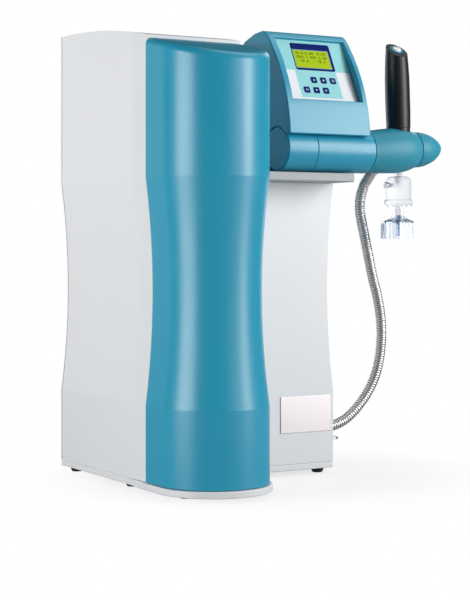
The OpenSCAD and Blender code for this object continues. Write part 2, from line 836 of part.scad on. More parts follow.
module steel_hose() place() color(steel) {
    path = hose_path;
    count = len(path);
    turn = frames(path, 0, [0, 1, 0]);
    // Every other ring stands out as a rib
    points = concat(
        [for (i = [0 : count - 1])
            each ring(path[i], turn[i], i % 2 == 1 && i < count - 1 ? hose_r : hose_r - rib_depth)],
        [for (i = [0 : count - 1]) each ring(path[i], turn[i], hose_bore)]
    );
    inner = count * hose_sides;
    faces = concat(
        [for (i = [0 : count - 2]) each band(i * hose_sides, (i + 1) * hose_sides)],
        [for (i = [0 : count - 2])
            each band(inner + (i + 1) * hose_sides, inner + i * hose_sides)],
        band(inner, 0),
        band((count - 1) * hose_sides, inner + (count - 1) * hose_sides)
    );
    polyhedron(points = points, faces = faces);
}

// A short clear drain loop low on the column's right side
drain_y = 18;
drain_z = 46;
drain_r = 9;
drain_tube = 2.2;
drain_out = 7;
module drain_loop() place() color(clear)
    translate([body_w - wall, drain_y, drain_z]) {
        for (s = [-1, 1])
            translate([0, s * drain_r, 0]) rod_x(0, wall + drain_out, drain_tube);
        translate([wall + drain_out, 0, 0]) rotate([0, 0, -90])
            rotate_extrude(angle = 180) translate([drain_r, 0]) circle(drain_tube);
    }

// Bare plate low on the column's front
badge_w = 83;
badge_h = 50;
badge_t = 1.2;
badge_in = 4;
module badge_plate() place() color([0.82, 0.80, 0.79])
    translate([body_w - badge_in - badge_w, -badge_t - 0.05, floor_z + 43])
        cube([badge_w, badge_t, badge_h]);

// Mains inlet with its switch's opening above the socket
inlet_depth = 14;
inlet_rim = 3;
socket_h = 22;
switch_z = 30;
module power_inlet() place() color(black)
    translate([inlet_x + gap, body_d - inlet_depth, inlet_z + gap]) difference() {
        union() {
            cube([inlet_w - 2 * gap, inlet_depth, inlet_h - 2 * gap]);
            translate([-inlet_rim, inlet_depth + gap, -inlet_rim])
                cube([inlet_w + 2 * inlet_rim - 2 * gap, 2.5, inlet_h + 2 * inlet_rim - 2 * gap]);
            translate([2, inlet_depth - 1, 2]) cube([inlet_w - 4.6, 2, inlet_h - 4.6]);
        }
        translate([3, 2, 3]) cube([inlet_w - 6.6, 30, socket_h]);
        translate([6, 6, switch_z]) cube([inlet_w - 12.6, 30, 13]);
    }

rocker_w = 14;
module mains_rocker() place() color([0.12, 0.12, 0.12])
    translate([inlet_x + (inlet_w - rocker_w) / 2, body_d - 3, inlet_z + switch_z + 6.5])
        rotate([90, 0, 90]) linear_extrude(rocker_w)
            polygon([[-2, -5.6], [6.4, -5], [4.6, 0], [6.4, 5], [-2, 5.6], [-4, 0]]);

module water_connectors() place() color(white)
    for (x = port_xs)
        translate([x, body_d + fitting_out, port_z]) rotate([90, 0, 0]) difference() {
            union() {
                cylinder(h = fitting_out + 12, r = port_body_r);
                translate([0, 0, fitting_out - 5.3]) cylinder(h = 5, r = port_body_r + 4, $fn = 6);
            }
            translate([0, 0, -over]) cylinder(h = fitting_out + 6, r = port_r);
        }

base_plate();
feet();
tower_housing();
column_housing();
rear_panel();
bay_panel();
front_cover();
cartridge_body();
cartridge_caps();
cartridge_cradles();
uv_chamber();
uv_clamps();
booster_pump();
power_supply();
head_shelf();
control_head();
keypad_panel();
display_window();
keypad_keys();
control_board();
arm_collar();
arm_tube();
pod_body();
flow_knob();
knob_spindle();
hand_grip();
thumb_ring();
thumb_button();
outlet_spigot();
filter_capsule();
filter_vent();
splash_bell();
hose_gland();
hose_bulkhead();
steel_hose();
drain_loop();
badge_plate();
power_inlet();
mains_rocker();
water_connectors();
panel_screws();
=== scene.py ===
"""Looks of the ultrapure water system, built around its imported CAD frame."""

import json
import math

import bmesh
import bpy
from mathutils import Matrix, Vector


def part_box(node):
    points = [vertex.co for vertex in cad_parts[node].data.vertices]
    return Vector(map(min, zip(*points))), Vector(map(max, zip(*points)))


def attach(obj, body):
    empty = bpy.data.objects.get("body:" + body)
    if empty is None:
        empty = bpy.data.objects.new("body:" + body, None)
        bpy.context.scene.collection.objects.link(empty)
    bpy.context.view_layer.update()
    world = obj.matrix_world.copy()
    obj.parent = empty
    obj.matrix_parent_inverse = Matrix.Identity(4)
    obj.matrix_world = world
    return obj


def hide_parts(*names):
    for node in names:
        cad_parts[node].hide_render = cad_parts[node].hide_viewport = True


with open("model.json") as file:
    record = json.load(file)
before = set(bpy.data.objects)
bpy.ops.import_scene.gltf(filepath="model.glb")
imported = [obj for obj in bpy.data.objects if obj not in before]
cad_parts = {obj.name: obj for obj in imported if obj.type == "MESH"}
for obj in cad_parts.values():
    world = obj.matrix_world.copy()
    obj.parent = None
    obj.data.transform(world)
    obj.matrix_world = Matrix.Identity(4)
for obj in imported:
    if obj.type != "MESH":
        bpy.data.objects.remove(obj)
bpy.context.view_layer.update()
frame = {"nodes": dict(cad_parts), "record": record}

bl_info = {
    "name": "Ultrapure Water System",
    "version": (1, 0, 0),
    "blender": (4, 5, 0),
    "location": "3D View > Sidebar > Water System",
    "description": "Models and finishes a bench-top ultrapure water system",
    "category": "Object",
}

MM = 0.001

# Left side of the tower and front face of the column, which sizes are measured from
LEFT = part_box("tower_housing")[0].x
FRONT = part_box("column_housing")[0].y


def at(x, y, z):
    """Point in the row frame of millimetres from the tower's left side and the column's front."""
    return Vector((LEFT + x * MM, FRONT + y * MM, z * MM))


# ---------------------------------------------------------------- settings


class WaterFinish(bpy.types.PropertyGroup):
    """Colours of the moulded and metal finishes."""

    teal: bpy.props.FloatVectorProperty(
        name="Teal", description="Front cover, head and arm", subtype="COLOR", size=3,
        default=(0.018, 0.300, 0.450), min=0, max=1,
    )
    white: bpy.props.FloatVectorProperty(
        name="White", description="Tower and column", subtype="COLOR", size=3,
        default=(0.715, 0.730, 0.745), min=0, max=1,
    )
    grey: bpy.props.FloatVectorProperty(
        name="Light grey", description="Shelf and rear panel", subtype="COLOR", size=3,
        default=(0.37, 0.385, 0.39), min=0, max=1,
    )
    film: bpy.props.FloatVectorProperty(
        name="Keypad film", description="Light zone of the keypad", subtype="COLOR", size=3,
        default=(0.320, 0.690, 0.710), min=0, max=1,
    )
    lime: bpy.props.FloatVectorProperty(
        name="Display", description="Lit display", subtype="COLOR", size=3,
        default=(0.40, 0.56, 0.01), min=0, max=1,
    )
    ink: bpy.props.FloatVectorProperty(
        name="Key blue", description="Keys and display border", subtype="COLOR", size=3,
        default=(0.003, 0.014, 0.135), min=0, max=1,
    )


class WaterShape(bpy.types.PropertyGroup):
    """Sizes that the finish adds to the CAD pieces."""

    edge_radius: bpy.props.FloatProperty(
        name="Edge radius", description="Rounding of moulded edges",
        default=1.2 * MM, min=0.1 * MM, max=4 * MM, unit="LENGTH", precision=4,
    )
    rib_pitch: bpy.props.FloatProperty(
        name="Rib pitch", description="Spacing of the ribs on the metal hose",
        default=3.6 * MM, min=2 * MM, max=8 * MM, unit="LENGTH", precision=4,
    )


class WaterStage(bpy.types.PropertyGroup):
    """Camera."""

    focal: bpy.props.FloatProperty(
        name="Focal length", description="In heights of the picture", default=8 / 3,
        min=1, max=6,
    )
    turn: bpy.props.FloatProperty(
        name="Camera turn", description="Turn of the view to the left of the front",
        default=math.radians(30.5), min=0, max=math.pi / 2, subtype="ANGLE",
    )


# ---------------------------------------------------------------- materials


def new_group(name, inputs, outputs):
    """Empty shader node group with float or vector sockets."""
    group = bpy.data.node_groups.new(name, "ShaderNodeTree")
    for label, kind, value in inputs:
        socket = group.interface.new_socket(label, in_out="INPUT", socket_type=kind)
        if value is not None:
            socket.default_value = value
    for label, kind in outputs:
        group.interface.new_socket(label, in_out="OUTPUT", socket_type=kind)
    enter = group.nodes.new("NodeGroupInput")
    leave = group.nodes.new("NodeGroupOutput")
    return group, enter, leave


def moulded_grain_group():
    """Fine moulded texture: an uneven roughness, a tone that drifts and a small bump height."""
    group, enter, leave = new_group(
        "Moulded grain",
        [
            ("Vector", "NodeSocketVector", None),
            ("Color", "NodeSocketColor", (0.5, 0.5, 0.5, 1)),
            ("Grain size", "NodeSocketFloat", 1500.0),
            ("Roughness", "NodeSocketFloat", 0.4),
            ("Drift", "NodeSocketFloat", 0.04),
        ],
        [
            ("Color", "NodeSocketColor"),
            ("Roughness", "NodeSocketFloat"),
            ("Height", "NodeSocketFloat"),
        ],
    )
    nodes, links = group.nodes, group.links
    fine = nodes.new("ShaderNodeTexNoise")
    fine.inputs["Detail"].default_value = 3
    links.new(enter.outputs["Vector"], fine.inputs["Vector"])
    links.new(enter.outputs["Grain size"], fine.inputs["Scale"])
    broad = nodes.new("ShaderNodeTexNoise")
    broad.inputs["Scale"].default_value = 9
    broad.inputs["Detail"].default_value = 4
    links.new(enter.outputs["Vector"], broad.inputs["Vector"])
    centred = nodes.new("ShaderNodeMath")
    centred.operation = "SUBTRACT"
    centred.inputs[1].default_value = 0.5
    links.new(broad.outputs["Fac"], centred.inputs[0])
    drift = nodes.new("ShaderNodeMath")
    drift.operation = "MULTIPLY_ADD"
    drift.inputs[2].default_value = 1
    links.new(centred.outputs[0], drift.inputs[0])
    links.new(enter.outputs["Drift"], drift.inputs[1])
    tone = nodes.new("ShaderNodeVectorMath")
    tone.operation = "SCALE"
    links.new(enter.outputs["Color"], tone.inputs[0])
    links.new(drift.outputs[0], tone.inputs["Scale"])
    rough = nodes.new("ShaderNodeMath")
    rough.operation = "MULTIPLY_ADD"
    rough.inputs[1].default_value = 0.10
    links.new(centred.outputs[0], rough.inputs[0])
    links.new(enter.outputs["Roughness"], rough.inputs[2])
    links.new(tone.outputs[0], leave.inputs["Color"])
    links.new(rough.outputs[0], leave.inputs["Roughness"])
    links.new(fine.outputs["Fac"], leave.inputs["Height"])
    return group


def brushed_group():
    """Metal drawn along one direction: streaks that feed roughness and bump."""
    group, enter, leave = new_group(
        "Brushed metal",
        [
            ("Vector", "NodeSocketVector", None),
            ("Color", "NodeSocketColor", (0.6, 0.6, 0.6, 1)),
            ("Stretch", "NodeSocketVector", (1, 1, 1)),
            ("Roughness", "NodeSocketFloat", 0.3),
        ],
        [
            ("Color", "NodeSocketColor"),
            ("Roughness", "NodeSocketFloat"),
            ("Height", "NodeSocketFloat"),
        ],
    )
    nodes, links = group.nodes, group.links
    scale = nodes.new("ShaderNodeVectorMath")
    scale.operation = "MULTIPLY"
    links.new(enter.outputs["Vector"], scale.inputs[0])
    links.new(enter.outputs["Stretch"], scale.inputs[1])
    streak = nodes.new("ShaderNodeTexNoise")
    streak.inputs["Scale"].default_value = 1
    streak.inputs["Detail"].default_value = 5
    links.new(scale.outputs[0], streak.inputs["Vector"])
    rough = nodes.new("ShaderNodeMath")
    rough.operation = "MULTIPLY_ADD"
    rough.inputs[1].default_value = 0.16
    links.new(streak.outputs["Fac"], rough.inputs[0])
    links.new(enter.outputs["Roughness"], rough.inputs[2])
    light = nodes.new("ShaderNodeMath")
    light.operation = "MULTIPLY_ADD"
    light.inputs[1].default_value = 0.18
    light.inputs[2].default_value = 0.91
    links.new(streak.outputs["Fac"], light.inputs[0])
    tone = nodes.new("ShaderNodeVectorMath")
    tone.operation = "SCALE"
    links.new(enter.outputs["Color"], tone.inputs[0])
    links.new(light.outputs[0], tone.inputs["Scale"])
    links.new(tone.outputs[0], leave.inputs["Color"])
    links.new(rough.outputs[0], leave.inputs["Roughness"])
    links.new(streak.outputs["Fac"], leave.inputs["Height"])
    return group


def zone_group():
    """Mask of a rectangle with round corners in the plane of the vector."""
    group, enter, leave = new_group(
        "Rounded zone",
        [
            ("Vector", "NodeSocketVector", None),
            ("Centre", "NodeSocketVector", (0, 0, 0)),
            ("Core", "NodeSocketVector", (1, 1, 1)),
            ("Radius", "NodeSocketFloat", 1.0),
        ],
        [("Mask", "NodeSocketFloat")],
    )
    nodes, links = group.nodes, group.links
    steps = {}
    for name in ("SUBTRACT", "ABSOLUTE", "OUTSIDE", "MAXIMUM", "LENGTH"):
        steps[name] = nodes.new("ShaderNodeVectorMath")
        steps[name].operation = "SUBTRACT" if name == "OUTSIDE" else name
    links.new(enter.outputs["Vector"], steps["SUBTRACT"].inputs[0])
    links.new(enter.outputs["Centre"], steps["SUBTRACT"].inputs[1])
    links.new(steps["SUBTRACT"].outputs[0], steps["ABSOLUTE"].inputs[0])
    links.new(steps["ABSOLUTE"].outputs[0], steps["OUTSIDE"].inputs[0])
    links.new(enter.outputs["Core"], steps["OUTSIDE"].inputs[1])
    links.new(steps["OUTSIDE"].outputs[0], steps["MAXIMUM"].inputs[0])
    links.new(steps["MAXIMUM"].outputs[0], steps["LENGTH"].inputs[0])
    inside = nodes.new("ShaderNodeMath")
    inside.operation = "LESS_THAN"
    links.new(steps["LENGTH"].outputs["Value"], inside.inputs[0])
    links.new(enter.outputs["Radius"], inside.inputs[1])
    links.new(inside.outputs[0], leave.inputs["Mask"])
    return group


GROUPS = {}
MATERIALS = {}


def group_named(key):
    makers = {"grain": moulded_grain_group, "brushed": brushed_group, "zone": zone_group}
    if key not in GROUPS:
        GROUPS[key] = makers[key]()
    return GROUPS[key]


def blank_material(name):
    """Material with only a Principled shader and its output."""
    material = bpy.data.materials.new(name)
    material.use_nodes = True
    nodes = material.node_tree.nodes
    nodes.clear()
    shader = nodes.new("ShaderNodeBsdfPrincipled")
    output = nodes.new("ShaderNodeOutputMaterial")
    material.node_tree.links.new(shader.outputs["BSDF"], output.inputs["Surface"])
    MATERIALS[name] = material
    return material, nodes, material.node_tree.links, shader


def map_range(nodes, links, value, source, target):
    """Output that carries a value from one range over to another."""
    node = nodes.new("ShaderNodeMapRange")
    node.inputs["From Min"].default_value, node.inputs["From Max"].default_value = source
    node.inputs["To Min"].default_value, node.inputs["To Max"].default_value = target
    links.new(value, node.inputs["Value"])
    return node.outputs["Result"]


def mix_colours(nodes, links, factor, first, second):
    """Output that goes from one colour to another; a colour is an output or three numbers."""
    node = nodes.new("ShaderNodeMix")
    node.data_type = "RGBA"
    links.new(factor, node.inputs["Factor"])
    for socket, colour in zip(node.inputs[6:8], (first, second)):
        if isinstance(colour, bpy.types.NodeSocket):
            links.new(colour, socket)
        else:
            socket.default_value = (*colour, 1)
    return node.outputs[2]


def node_of_type(nodes, kind):
    """First node of a type."""
    return next(node for node in nodes if node.type == kind)


def textured(name, kind, colour, roughness, bump, values=(), shader_values=()):
    """Material whose colour, roughness and bump come from one of the shared groups."""
    material, nodes, links, shader = blank_material(name)
    place = nodes.new("ShaderNodeTexCoord")
    effect = nodes.new("ShaderNodeGroup")
    effect.node_tree = group_named(kind)
    effect.inputs["Color"].default_value = (*colour, 1)
    effect.inputs["Roughness"].default_value = roughness
    for key, value in values:
        effect.inputs[key].default_value = value
    for key, value in shader_values:
        shader.inputs[key].default_value = value
    links.new(place.outputs["Object"], effect.inputs["Vector"])
    links.new(effect.outputs["Color"], shader.inputs["Base Color"])
    links.new(effect.outputs["Roughness"], shader.inputs["Roughness"])
    relief = nodes.new("ShaderNodeBump")
    relief.inputs["Strength"].default_value = bump
    relief.inputs["Distance"].default_value = 0.05 * MM
    links.new(effect.outputs["Height"], relief.inputs["Height"])
    links.new(relief.outputs["Normal"], shader.inputs["Normal"])
    return material


def moulded(name, colour, roughness, bump, grain, drift, **extra):
    """Moulded plastic with a grain; extra values go to the shader's inputs by name."""
    shader_values = [(k.replace("_", " "), v) for k, v in extra.items()]
    return textured(
        name, "grain", colour, roughness, bump,
        [("Grain size", grain), ("Drift", drift)], shader_values,
    )


def brushed(name, colour, roughness, stretch, bump=0.4):
    """Brushed metal, with the number of streaks per metre along each axis."""
    return textured(
        name, "brushed", colour, roughness, bump, [("Stretch", stretch)], [("Metallic", 1.0)]
    )


def edge_tint(nodes, links, colour, edge):
    """Colour that turns to an edge colour where the surface is seen edge on."""
    facing = nodes.new("ShaderNodeLayerWeight")
    facing.inputs["Blend"].default_value = 0.35
    return mix_colours(nodes, links, facing.outputs["Facing"], colour, edge)


def clear_material(name, tint, edge, roughness, density):
    """Clear plastic with faint haze and a tint where it is thick or seen edge on."""
    material, nodes, links, shader = blank_material(name)
    shader.inputs["Transmission Weight"].default_value = 1
    shader.inputs["IOR"].default_value = 1.3
    place = nodes.new("ShaderNodeTexCoord")
    noise = nodes.new("ShaderNodeTexNoise")
    noise.inputs["Scale"].default_value = 180
    noise.inputs["Detail"].default_value = 2
    links.new(place.outputs["Object"], noise.inputs["Vector"])
    spread = (roughness * 0.6, roughness * 1.4)
    haze = map_range(nodes, links, noise.outputs["Fac"], (0, 1), spread)
    links.new(haze, shader.inputs["Roughness"])
    links.new(edge_tint(nodes, links, tint, edge), shader.inputs["Base Color"])
    absorb = nodes.new("ShaderNodeVolumeAbsorption")
    absorb.inputs["Color"].default_value = (*edge, 1)
    absorb.inputs["Density"].default_value = density
    links.new(absorb.outputs[0], node_of_type(nodes, "OUTPUT_MATERIAL").inputs["Volume"])
    return material


# Size of one unit of the film's printing coordinates, in millimetres
PRINT_UNIT = 100
# Printed zones of the keypad film in millimetres from its lower left corner: box, corner, colour
FILM_ZONES = (
    ((-5, 50, 116, 103), 0.3, "cyan"),
    ((21, 7.4, 87.7, 60), 1.2, "cyan"),
    ((24.1, 50.6, 88.0, 93.6), 3.0, "ink"),
    ((25.5, 54.0, 84.0, 83.5), 0.8, "line"),
)


def printed_film(finish):
    """Keypad film: white with cyan zones and a dark border round the display."""
    material = moulded(
        "panel_film", (0.82, 0.84, 0.87), 0.55, 0.15, 2500, 0.02, Specular_IOR_Level=0.06
    )
    nodes, links = material.node_tree.nodes, material.node_tree.links
    effect = node_of_type(nodes, "GROUP")
    flat = nodes.new("ShaderNodeUVMap")
    flat.uv_map = "print"
    paints = {"cyan": finish.film, "ink": finish.ink, "line": (0.30, 0.42, 0.62)}
    colour = effect.inputs["Color"].default_value[:3]
    for (x0, y0, x1, y1), corner, paint in FILM_ZONES:
        zone = nodes.new("ShaderNodeGroup")
        zone.node_tree = group_named("zone")
        middle = ((x0 + x1) / 2, (y0 + y1) / 2)
        core = ((x1 - x0) / 2 - corner, (y1 - y0) / 2 - corner)
        zone.inputs["Centre"].default_value = (*(v / PRINT_UNIT for v in middle), 0)
        zone.inputs["Core"].default_value = (*(v / PRINT_UNIT for v in core), 1)
        zone.inputs["Radius"].default_value = corner / PRINT_UNIT
        links.new(flat.outputs["UV"], zone.inputs["Vector"])
        colour = mix_colours(nodes, links, zone.outputs["Mask"], colour, paints[paint])
    links.new(colour, effect.inputs["Color"])
    return material


def milky_filter(neck_top):
    """Milky capsule that scatters the light passing through, with a clear neck below a height."""
    material = moulded("filter_milk", (0.86, 0.87, 0.89), 0.42, 0.12, 700, 0.03, IOR=1.18)
    nodes, links = material.node_tree.nodes, material.node_tree.links
    shader = node_of_type(nodes, "BSDF_PRINCIPLED")
    axes = nodes.new("ShaderNodeSeparateXYZ")
    links.new(node_of_type(nodes, "TEX_COORD").outputs["Object"], axes.inputs[0])
    step = (neck_top - 1.5 * MM, neck_top)
    neck_and_body = {"Transmission Weight": (0.95, 0.80), "Roughness": (0.10, 0.85)}
    for label, values in neck_and_body.items():
        links.new(map_range(nodes, links, axes.outputs["Z"], step, values), shader.inputs[label])
    body = node_of_type(nodes, "GROUP").outputs["Color"]
    links.new(edge_tint(nodes, links, body, (0.42, 0.44, 0.48)), shader.inputs["Base Color"])


def ribbed_steel():
    """Steel of the hose, with painted shade down in the grooves between its ribs."""
    material = brushed("hose_steel", (0.74, 0.735, 0.73), 0.28, (900, 900, 900), 0.2)
    nodes, links = material.node_tree.nodes, material.node_tree.links
    depth = nodes.new("ShaderNodeAttribute")
    depth.attribute_name = "depth"
    # Painted shade: the steel turns to a dark grey in the grooves between the ribs, darker the
    # deeper below the hose's radius
    groove_shade = map_range(nodes, links, depth.outputs["Fac"], (0.25 * MM, 0.75 * MM), (0, 1))
    ridge = node_of_type(nodes, "GROUP").outputs["Color"]
    colour = mix_colours(nodes, links, groove_shade, ridge, (0.30, 0.29, 0.285))
    links.new(colour, node_of_type(nodes, "BSDF_PRINCIPLED").inputs["Base Color"])


def make_materials():
    finish = bpy.context.scene.water_finish
    printed_film(finish)
    milky_filter(FILTER_LOW * MM)
    moulded("button_gloss", (0.72, 0.76, 0.78), 0.16, 0.05, 900, 0.04, Coat_Weight=0.6)
    moulded("teal_plastic", finish.teal, 0.34, 0.25, 1800, 0.03, Specular_IOR_Level=0.53)
    moulded("teal_satin", (0.022, 0.265, 0.370), 0.50, 0.30, 1500, 0.03, Specular_IOR_Level=0.45)
    moulded("white_plastic", finish.white, 0.42, 0.22, 1600, 0.02)
    moulded("grey_plastic", finish.grey, 0.46, 0.25, 1400, 0.03)
    moulded("black_plastic", (0.009, 0.010, 0.014), 0.40, 0.30, 1500, 0.20, Specular_IOR_Level=0.4)
    moulded("black_rubber", (0.010, 0.010, 0.011), 0.62, 0.60, 900, 0.25)
    moulded("cartridge_plastic", (0.70, 0.71, 0.68), 0.38, 0.20, 1200, 0.03)
    moulded("key_blue", finish.ink, 0.5, 0.15, 2200, 0.06, Specular_IOR_Level=0.08)
    moulded("key_mark", (0.55, 0.66, 0.78), 0.5, 0.1, 2000, 0.04)
    moulded("board_green", (0.015, 0.10, 0.04), 0.45, 0.30, 700, 0.20)
    moulded("display_lime", finish.lime, 0.5, 0.05, 2500, 0.05, Specular_IOR_Level=0.08)
    moulded("display_dark", (0.008, 0.020, 0.006), 0.6, 0.05, 2500, 0.05, Specular_IOR_Level=0.05)
    moulded(
        "frosted_plastic", (0.80, 0.82, 0.83), 0.33, 0.12, 700, 0.04,
        Subsurface_Weight=0.6, Subsurface_Scale=0.01,
    )
    brushed("steel", (0.56, 0.56, 0.56), 0.24, (2500, 2500, 60))
    ribbed_steel()
    brushed("badge_metal", (0.555, 0.52, 0.53), 0.36, (60, 900, 3500))
    clear_material("clear_plastic", (0.95, 0.97, 1.0), (0.30, 0.40, 0.52), 0.05, 45)
    clear_material("blue_core", (0.42, 0.55, 0.68), (0.16, 0.26, 0.38), 0.12, 60)


# ---------------------------------------------------------------- mesh helpers


# Least angle of an edge that counts as a crease
CREASE_ANGLE = math.radians(4)


def finish_mesh(mesh, sharp=32, creases=()):
    """Smooth faces, with edges over an angle and creases at given heights kept sharp."""
    bm = bmesh.new()
    bm.from_mesh(mesh)
    limit = math.radians(sharp)
    for face in bm.faces:
        face.smooth = True
    for edge in bm.edges:
        if len(edge.link_faces) == 2:
            angle = edge.calc_face_angle(0)
            level = any(all(abs(v.co.z - z * MM) < 0.1 * MM for v in edge.verts) for z in creases)
            edge.smooth = angle < limit and not (level and angle > CREASE_ANGLE)
    bm.to_mesh(mesh)
    bm.free()


def add_bevel(piece, width, angle):
    """Rounds a piece's edges over an angle in degrees, and keeps its flat faces flat."""
    bevel = piece.modifiers.new("Soft edges", "BEVEL")
    bevel.width = width
    bevel.segments = 3
    bevel.limit_method = "ANGLE"
    bevel.angle_limit = math.radians(angle)
    bevel.use_clamp_overlap = True
    bevel.harden_normals = False
    shade = piece.modifiers.new("Even shading", "WEIGHTED_NORMAL")
    shade.keep_sharp = True


def new_piece(
    name, bm, material, body="root", replaced=(), sharp=32, bevel=0.0, creases=(),
):
    """Object at the origin from a bmesh, with its material, body and the nodes it stands for."""
    mesh = bpy.data.meshes.new(name)
    bm.to_mesh(mesh)
    bm.free()
    finish_mesh(mesh, sharp, creases)
    piece = bpy.data.objects.new(name, mesh)
    bpy.context.scene.collection.objects.link(piece)
    mesh.materials.append(MATERIALS[material])
    if bevel:
        add_bevel(piece, bevel, sharp)
    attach(piece, body)
    if replaced:
        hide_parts(*replaced)
    return piece


def node_bmesh(node, merge=0.02 * MM):
    """Merged copy of a CAD node, with its flat faces whole again."""
    bm = bmesh.new()
    bm.from_mesh(frame["nodes"][node].data)
    bmesh.ops.remove_doubles(bm, verts=bm.verts[:], dist=merge)
    bmesh.ops.dissolve_limit(
        bm, angle_limit=math.radians(0.6), verts=bm.verts[:], edges=bm.edges[:]
    )
    return bm


def body_of_node(node):
    for body, nodes in frame["record"]["behaviour"]["bodies"].items():
        if node in nodes:
            return body
    return "root"


def slot_of_node(node):
    for row in frame["record"]["subparts"]:
        if row["node"] == node:
            return row["material_slot"]
    return None


def refined(node, material=None, bevel=0.0, sharp=32, creases=()):
    """Finished piece made from a CAD node's own shape."""
    slot = slot_of_node(node)
    return new_piece(
        node + "_finish", node_bmesh(node), material or slot, body_of_node(node),
        (node,), sharp, bevel, creases,
    )


def turned(profile, steps):
    """Bmesh of a profile of radius and height in millimetres, spun about Z."""
    bm = bmesh.new()
    verts = [bm.verts.new((max(p[0], 0) * MM, 0, p[1] * MM)) for p in profile]
    edges = [bm.edges.new(pair) for pair in zip(verts, verts[1:])]
    bmesh.ops.spin(
        bm, geom=verts + edges, cent=(0, 0, 0), axis=(0, 0, 1), angle=2 * math.pi,
        steps=steps, use_merge=True,
    )
    bmesh.ops.remove_doubles(bm, verts=bm.verts[:], dist=0.001 * MM)
    bmesh.ops.recalc_face_normals(bm, faces=bm.faces[:])
    return bm


def placed(bm, matrix):
    bmesh.ops.transform(bm, matrix=matrix, verts=bm.verts[:])
    return bm


def moved(bm, x, y, z):
    return placed(bm, Matrix.Translation((x, y, z)))


# Frame of the keypad panel, from its lower left corner and its lean back from upright
PANEL_LEAN = 26.6
PANEL_FRAME = (
    Matrix.Translation(at(210.5, -58, 509))
    @ Matrix.Rotation(math.radians(90 - PANEL_LEAN), 4, "X")
)
# Height of the arm's axis, how far it stands out, and the grip's place along it
ARM_Z = 446
ARM_OUT = 40
GRIP_X = 401.3
# Lower ends of the filter capsule and of its neck, where the splash bell starts
FILTER_LOW = ARM_Z - 73
BELL_TOP = FILTER_LOW - 17
# Heights of the creases where the waist starts and ends
WAIST = (114, 403)


# ---------------------------------------------------------------- stage


# Camera's place in the tower's millimetres, and the row of the picture where its horizon lies
CAMERA_PLACE = (-933.2, -1854.4, 320)
PICTURE_H = 600
HORIZON = 243
# Soft lamps: azimuth in degrees, distance and height, then size in metres and power in watts
LAMPS = {
    "strip_right": (40, 2.2, 0.90, (0.75, 1.6), 44),
    "strip_left": (-86, 2.2, 0.46, (1.30, 1.0), 37),
    "front": (18, 2.4, 0.85, (1.2, 1.2), 9),
    "top": (80.54, 0.6083, 1.9, (1.0, 1.2), 7),
    "rear_right": (125, 2.2, 0.9, (0.5, 1.6), 8),
    "back": (190, 2.4, 0.7, (1.2, 1.2), 12),
}
LAMP_TARGET = (0, 0, 0.33)
# Distances from the middle between which the floor turns plain white, and how white it starts
FLOOR_FADE = (0.14, 0.36)
FLOOR_WHITE = 0.74


def aim(obj, target):
    obj.rotation_euler = (Vector(target) - obj.location).to_track_quat("-Z", "Y").to_euler()


def area_lamp(name, place, target, size, power):
    lamp = bpy.data.lights.new(name, "AREA")
    lamp.shape = "RECTANGLE"
    lamp.size, lamp.size_y = size
    lamp.energy = power
    obj = bpy.data.objects.new(name, lamp)
    bpy.context.scene.collection.objects.link(obj)
    obj.location = place
    aim(obj, target)
    return obj


def camera_only_white(tree, other, white):
    """Shows one shader to the camera, also through clear pieces, and another to the light."""
    nodes, links = tree.nodes, tree.links
    path = nodes.new("ShaderNodeLightPath")
    seen = nodes.new("ShaderNodeMath")
    seen.operation = "ADD"
    seen.use_clamp = True
    links.new(path.outputs["Is Camera Ray"], seen.inputs[0])
    links.new(path.outputs["Is Transmission Ray"], seen.inputs[1])
    mix = nodes.new("ShaderNodeMixShader")
    links.new(seen.outputs[0], mix.inputs[0])
    links.new(other, mix.inputs[1])
    links.new(white, mix.inputs[2])
    return mix


def make_world():
    world = bpy.data.worlds.new("Studio")
    bpy.context.scene.world = world
    world.use_nodes = True
    tree = world.node_tree
    tree.nodes.clear()
    soft = tree.nodes.new("ShaderNodeBackground")
    soft.inputs["Color"].default_value = (0.93, 0.96, 1, 1)
    soft.inputs["Strength"].default_value = 0.05
    white = tree.nodes.new("ShaderNodeBackground")
    white.inputs["Color"].default_value = (1, 1, 1, 1)
    white.inputs["Strength"].default_value = 1
    mix = camera_only_white(tree, soft.outputs[0], white.outputs[0])
    output = tree.nodes.new("ShaderNodeOutputWorld")
    tree.links.new(mix.outputs[0], output.inputs[0])


def make_floor():
    bm = bmesh.new()
    bmesh.ops.create_grid(bm, x_segments=4, y_segments=4, size=9)
    mesh = bpy.data.meshes.new("floor")
    bm.to_mesh(mesh)
    bm.free()
    floor = bpy.data.objects.new("floor", mesh)
    bpy.context.scene.collection.objects.link(floor)
    floor.location = (0, 0, -0.0005)
    material = bpy.data.materials.new("pale_floor")
    material.use_nodes = True
    tree = material.node_tree
    nodes, links = tree.nodes, tree.links
    nodes.clear()
    matt = nodes.new("ShaderNodeBsdfDiffuse")
    matt.inputs["Color"].default_value = (0.92, 0.92, 0.93, 1)
    glow = nodes.new("ShaderNodeEmission")
    glow.inputs["Strength"].default_value = 1
    # The floor turns from partly matt under the object to plain white away from it
    place = nodes.new("ShaderNodeTexCoord")
    reach = nodes.new("ShaderNodeVectorMath")
    reach.operation = "LENGTH"
    links.new(place.outputs["Object"], reach.inputs[0])
    fade = map_range(nodes, links, reach.outputs["Value"], FLOOR_FADE, (FLOOR_WHITE, 1))
    fade.node.interpolation_type = "SMOOTHSTEP"
    share = nodes.new("ShaderNodeMixShader")
    links.new(fade, share.inputs[0])
    links.new(matt.outputs[0], share.inputs[1])
    links.new(glow.outputs[0], share.inputs[2])
    dull = nodes.new("ShaderNodeBsdfDiffuse")
    dull.inputs["Color"].default_value = (0.45, 0.45, 0.46, 1)
    mix = camera_only_white(tree, dull.outputs[0], share.outputs[0])
    output = nodes.new("ShaderNodeOutputMaterial")
    links.new(mix.outputs[0], output.inputs[0])
    mesh.materials.append(material)


